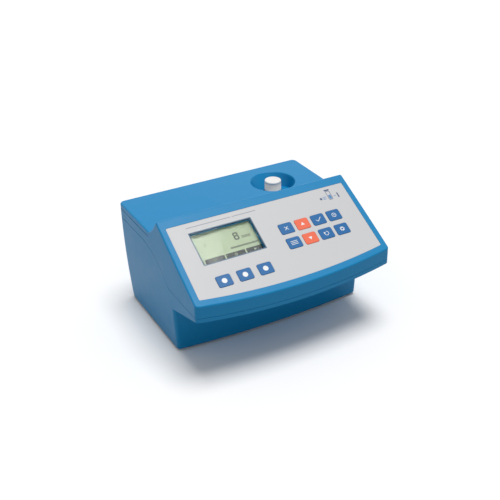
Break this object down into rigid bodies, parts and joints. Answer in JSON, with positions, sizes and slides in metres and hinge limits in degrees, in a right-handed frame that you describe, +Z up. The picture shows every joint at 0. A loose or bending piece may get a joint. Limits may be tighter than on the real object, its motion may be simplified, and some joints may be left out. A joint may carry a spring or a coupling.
{
  "type": "multiparameter photometer",
  "caption": "Bench photometer with a sloping film panel, display, keys, and a deck recess that takes a capped sample vial, on an overhanging two-part casing.",
  "frame": {"origin": "on the bench, under the middle of the instrument's bounding box", "axes": "+X to the right seen from the front, +Y to the rear, +Z up; the panel faces -Y and up"},
  "size_m": [0.235, 0.2058, 0.14],
  "materials": {
    "casing": "fine-textured blue moulding",
    "panel_film": "satin printed film",
    "key_blue": "satin",
    "key_orange": "satin",
    "membrane": "printed film",
    "dome_metal": "stamped",
    "flat_cable": "flat cable jacket",
    "window": "clear sheet",
    "pressed_metal": "pressed sheet",
    "display": "reflective display cell",
    "circuit_board": "solder mask",
    "screw_metal": "zinc plated",
    "connector_plastic": "moulded",
    "chip": "moulded",
    "capacitor_sleeve": "shrunk sleeve",
    "cell_metal": "pressed can",
    "switch_plastic": "moulded",
    "rocker_plastic": "moulded",
    "pin_metal": "plated",
    "socket_metal": "pressed shell",
    "tongue_plastic": "moulded",
    "holder_plastic": "light-absorbing moulding",
    "filter_glass": "coated",
    "lens_glass": "polished",
    "lamp_lens": "moulded",
    "photocell": "dark window",
    "foam": "closed-cell foam",
    "vial_glass": "clear",
    "cap_plastic": "white moulding",
    "liner": "soft disc",
    "foot_rubber": "moulded"
  },
  "bodies": {
    "housing": {"upper_casing": "casing", "lower_casing": "casing", "panel_film": "panel_film", "membrane_circuit": "membrane", "key_domes": "dome_metal", "membrane_tail": "flat_cable", "display_window": "window", "display_frame": "pressed_metal", "display_glass": "display", "display_board": "circuit_board", "display_screws": "screw_metal", "display_ribbon": "flat_cable", "main_board": "circuit_board", "board_connectors": "connector_plastic", "board_chips": "chip", "capacitors": "capacitor_sleeve", "beeper": "chip", "clock_cell": "cell_metal", "board_screws": "screw_metal", "holder_screws": "screw_metal", "switch_frame": "switch_plastic", "power_inlet": "switch_plastic", "inlet_pin": "pin_metal", "data_socket": "socket_metal", "socket_tongue": "tongue_plastic", "cell_holder": "holder_plastic", "filters": "filter_glass", "lenses": "lens_glass", "lamps": "lamp_lens", "photocells": "photocell", "lamp_board": "circuit_board", "detector_board": "circuit_board", "light_seal": "foam", "well_collar": "holder_plastic", "rubber_feet": "foot_rubber", "case_screws": "screw_metal"},
    "soft_key_left": {"soft_key_left": "key_blue"},
    "soft_key_middle": {"soft_key_middle": "key_blue"},
    "soft_key_right": {"soft_key_right": "key_blue"},
    "key_cancel": {"key_cancel": "key_blue"},
    "key_up": {"key_up": "key_orange"},
    "key_check": {"key_check": "key_blue"},
    "key_help": {"key_help": "key_blue"},
    "key_menu": {"key_menu": "key_blue"},
    "key_down": {"key_down": "key_orange"},
    "key_recall": {"key_recall": "key_blue"},
    "key_setup": {"key_setup": "key_blue"},
    "rocker": {"power_rocker": "rocker_plastic"},
    "vial": {"vial_glass": "vial_glass"},
    "liner": {"cap_liner": "liner"},
    "cap": {"vial_cap": "cap_plastic"}
  },
  "joints": [
    {"name": "soft_key_left_press", "type": "slide", "parent": "housing", "child": "soft_key_left", "axis": [0, 0.4863, -0.8738], "range_m": [0, 0.00025], "stiffness_N_per_m": 1200},
    {"name": "soft_key_middle_press", "type": "slide", "parent": "housing", "child": "soft_key_middle", "axis": [0, 0.4863, -0.8738], "range_m": [0, 0.00025], "stiffness_N_per_m": 1200},
    {"name": "soft_key_right_press", "type": "slide", "parent": "housing", "child": "soft_key_right", "axis": [0, 0.4863, -0.8738], "range_m": [0, 0.00025], "stiffness_N_per_m": 1200},
    {"name": "key_cancel_press", "type": "slide", "parent": "housing", "child": "key_cancel", "axis": [0, 0.4863, -0.8738], "range_m": [0, 0.00025], "stiffness_N_per_m": 1200},
    {"name": "key_up_press", "type": "slide", "parent": "housing", "child": "key_up", "axis": [0, 0.4863, -0.8738], "range_m": [0, 0.00025], "stiffness_N_per_m": 1200},
    {"name": "key_check_press", "type": "slide", "parent": "housing", "child": "key_check", "axis": [0, 0.4863, -0.8738], "range_m": [0, 0.00025], "stiffness_N_per_m": 1200},
    {"name": "key_help_press", "type": "slide", "parent": "housing", "child": "key_help", "axis": [0, 0.4863, -0.8738], "range_m": [0, 0.00025], "stiffness_N_per_m": 1200},
    {"name": "key_menu_press", "type": "slide", "parent": "housing", "child": "key_menu", "axis": [0, 0.4863, -0.8738], "range_m": [0, 0.00025], "stiffness_N_per_m": 1200},
    {"name": "key_down_press", "type": "slide", "parent": "housing", "child": "key_down", "axis": [0, 0.4863, -0.8738], "range_m": [0, 0.00025], "stiffness_N_per_m": 1200},
    {"name": "key_recall_press", "type": "slide", "parent": "housing", "child": "key_recall", "axis": [0, 0.4863, -0.8738], "range_m": [0, 0.00025], "stiffness_N_per_m": 1200},
    {"name": "key_setup_press", "type": "slide", "parent": "housing", "child": "key_setup", "axis": [0, 0.4863, -0.8738], "range_m": [0, 0.00025], "stiffness_N_per_m": 1200},
    {"name": "rocker_tilt", "type": "hinge", "parent": "housing", "child": "rocker", "pos_m": [-0.07102, 0.08508, 0.0225], "axis": [0, 0, 1], "range_deg": [0, 16]},
    {"name": "vial_lift", "type": "slide", "parent": "housing", "child": "vial", "axis": [0, 0, 1], "range_m": [0, 0.12]},
    {"name": "cap_rise", "type": "slide", "parent": "vial", "child": "liner", "axis": [0, 0, 1], "range_m": [0, 0.0045]},
    {"name": "cap_turn", "type": "hinge", "parent": "liner", "child": "cap", "pos_m": [0.0605, 0.05924, 0.114], "axis": [0, 0, 1], "range_deg": [0, 541]}
  ],
  "couplings": [
    {"joint": "cap_turn", "follows": "cap_rise", "rad_per_m": 2094.4}
  ]
}
